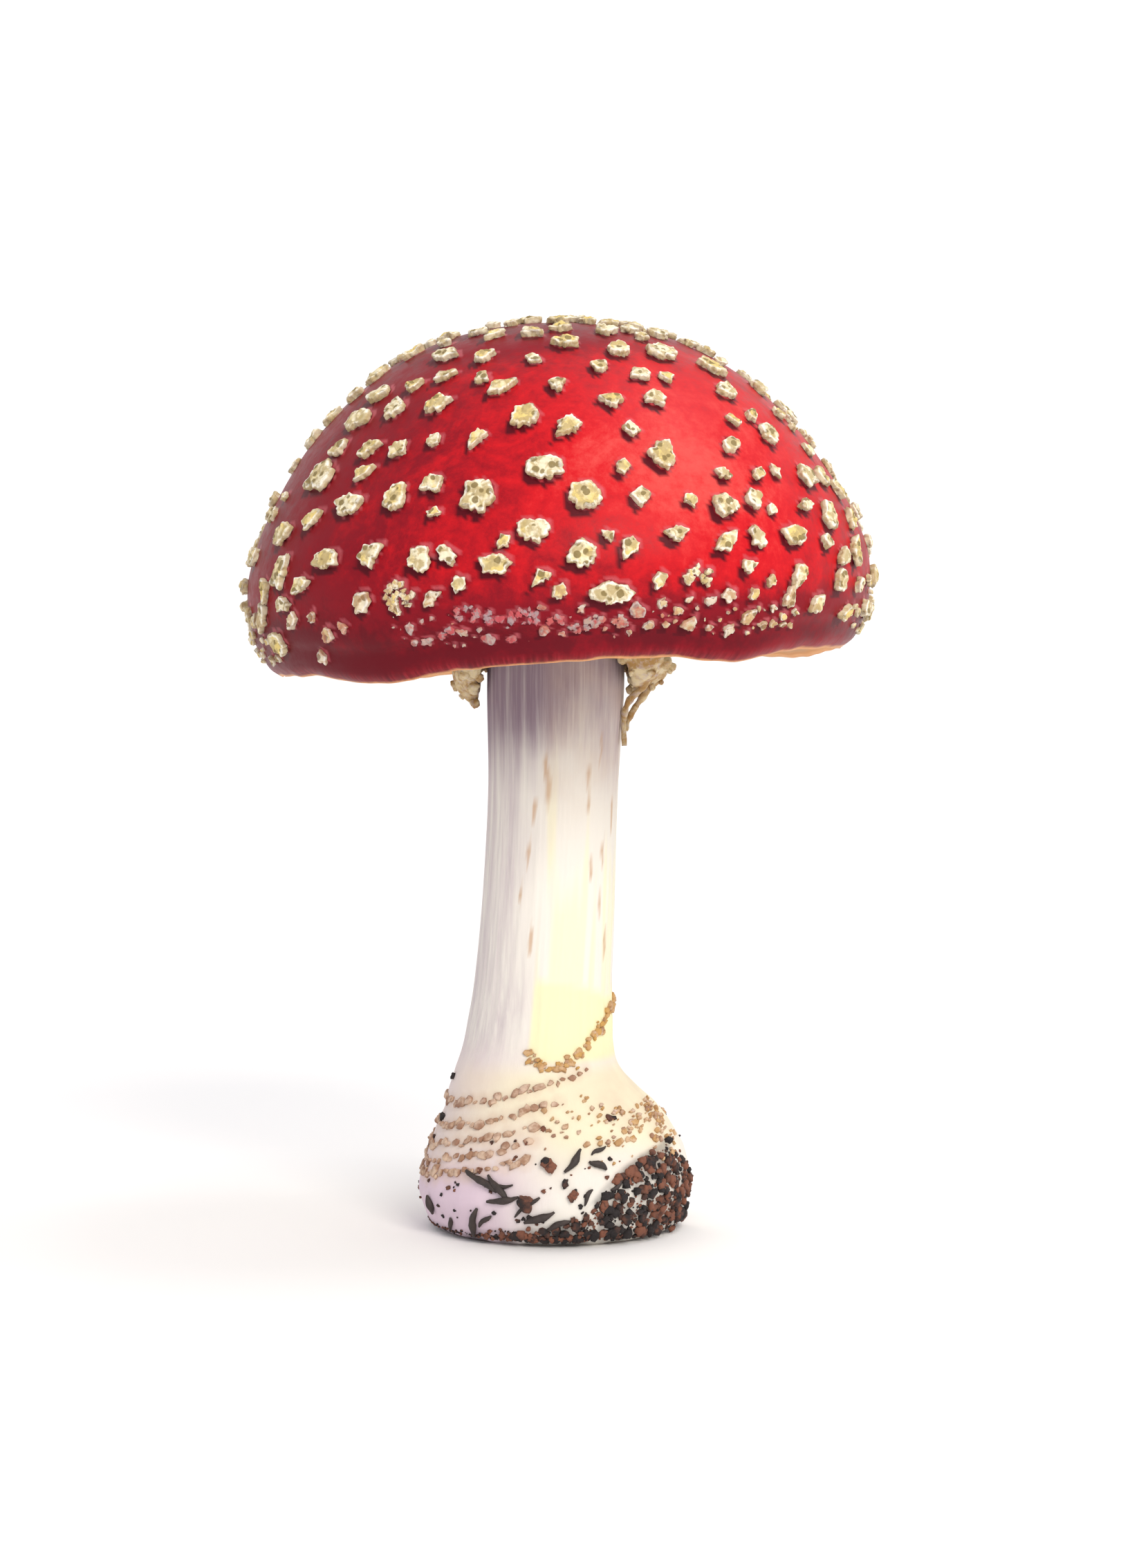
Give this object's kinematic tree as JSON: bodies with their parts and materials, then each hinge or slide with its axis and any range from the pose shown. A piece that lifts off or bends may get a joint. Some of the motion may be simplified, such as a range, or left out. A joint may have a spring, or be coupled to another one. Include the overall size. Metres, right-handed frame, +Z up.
{
  "type": "fly agaric mushroom",
  "caption": "Whole fly agaric mushroom: domed red cap with pale raised warts, pleated gills, a torn ring, and a white stem on a banded, soil-stained bulb with a flat foot.",
  "frame": {"origin": "middle of the flat foot of the bulb, on the surface that it stands on", "axes": "+Z up along the stem, -Y towards the front, +X to the right of the front"},
  "size_m": [0.1079, 0.1098, 0.157],
  "materials": {
    "cap_skin": "moist, glossy skin of the cap",
    "gills": "matt and soft, white to cream",
    "stem": "matt and fibrous, white to cream with a lilac-grey side",
    "veil": "matt and crumpled, cream to ochre",
    "warts": "matt and crumbly, cream with olive-brown specks",
    "veil_bands": "matt and scaly, tan to brown",
    "soil": "moist and crumbly, dark brown",
    "needles": "dull, dark brown"
  },
  "bodies": {
    "root": {"cap": "cap_skin", "gills": "gills", "stem": "stem", "ring": "veil", "veil_band_1": "veil_bands", "veil_band_2": "veil_bands", "veil_band_3": "veil_bands", "veil_band_4": "veil_bands", "veil_band_5": "veil_bands", "veil_collar": "veil_bands", "soil_edge": "soil", "soil_crust": "soil", "soil_clod_1": "soil", "soil_clod_2": "soil", "soil_clod_3": "soil", "needle_1": "needles", "needle_2": "needles", "needle_3": "needles", "needle_4": "needles", "needle_5": "needles", "wart_01": "warts", "wart_02": "warts", "wart_03": "warts", "wart_04": "warts", "wart_05": "warts", "wart_06": "warts", "wart_07": "warts", "wart_08": "warts", "wart_09": "warts", "wart_10": "warts", "wart_11": "warts", "wart_12": "warts", "wart_13": "warts", "wart_14": "warts", "wart_15": "warts", "wart_16": "warts", "wart_17": "warts", "wart_18": "warts", "wart_19": "warts", "wart_20": "warts", "wart_21": "warts", "wart_22": "warts", "wart_23": "warts", "wart_24": "warts", "wart_25": "warts", "wart_26": "warts", "wart_27": "warts", "wart_28": "warts", "wart_29": "warts", "wart_30": "warts", "wart_31": "warts", "wart_32": "warts", "wart_33": "warts", "wart_34": "warts", "wart_35": "warts", "wart_36": "warts", "wart_37": "warts", "wart_38": "warts", "wart_39": "warts", "wart_40": "warts"}
  },
  "joints": []
}
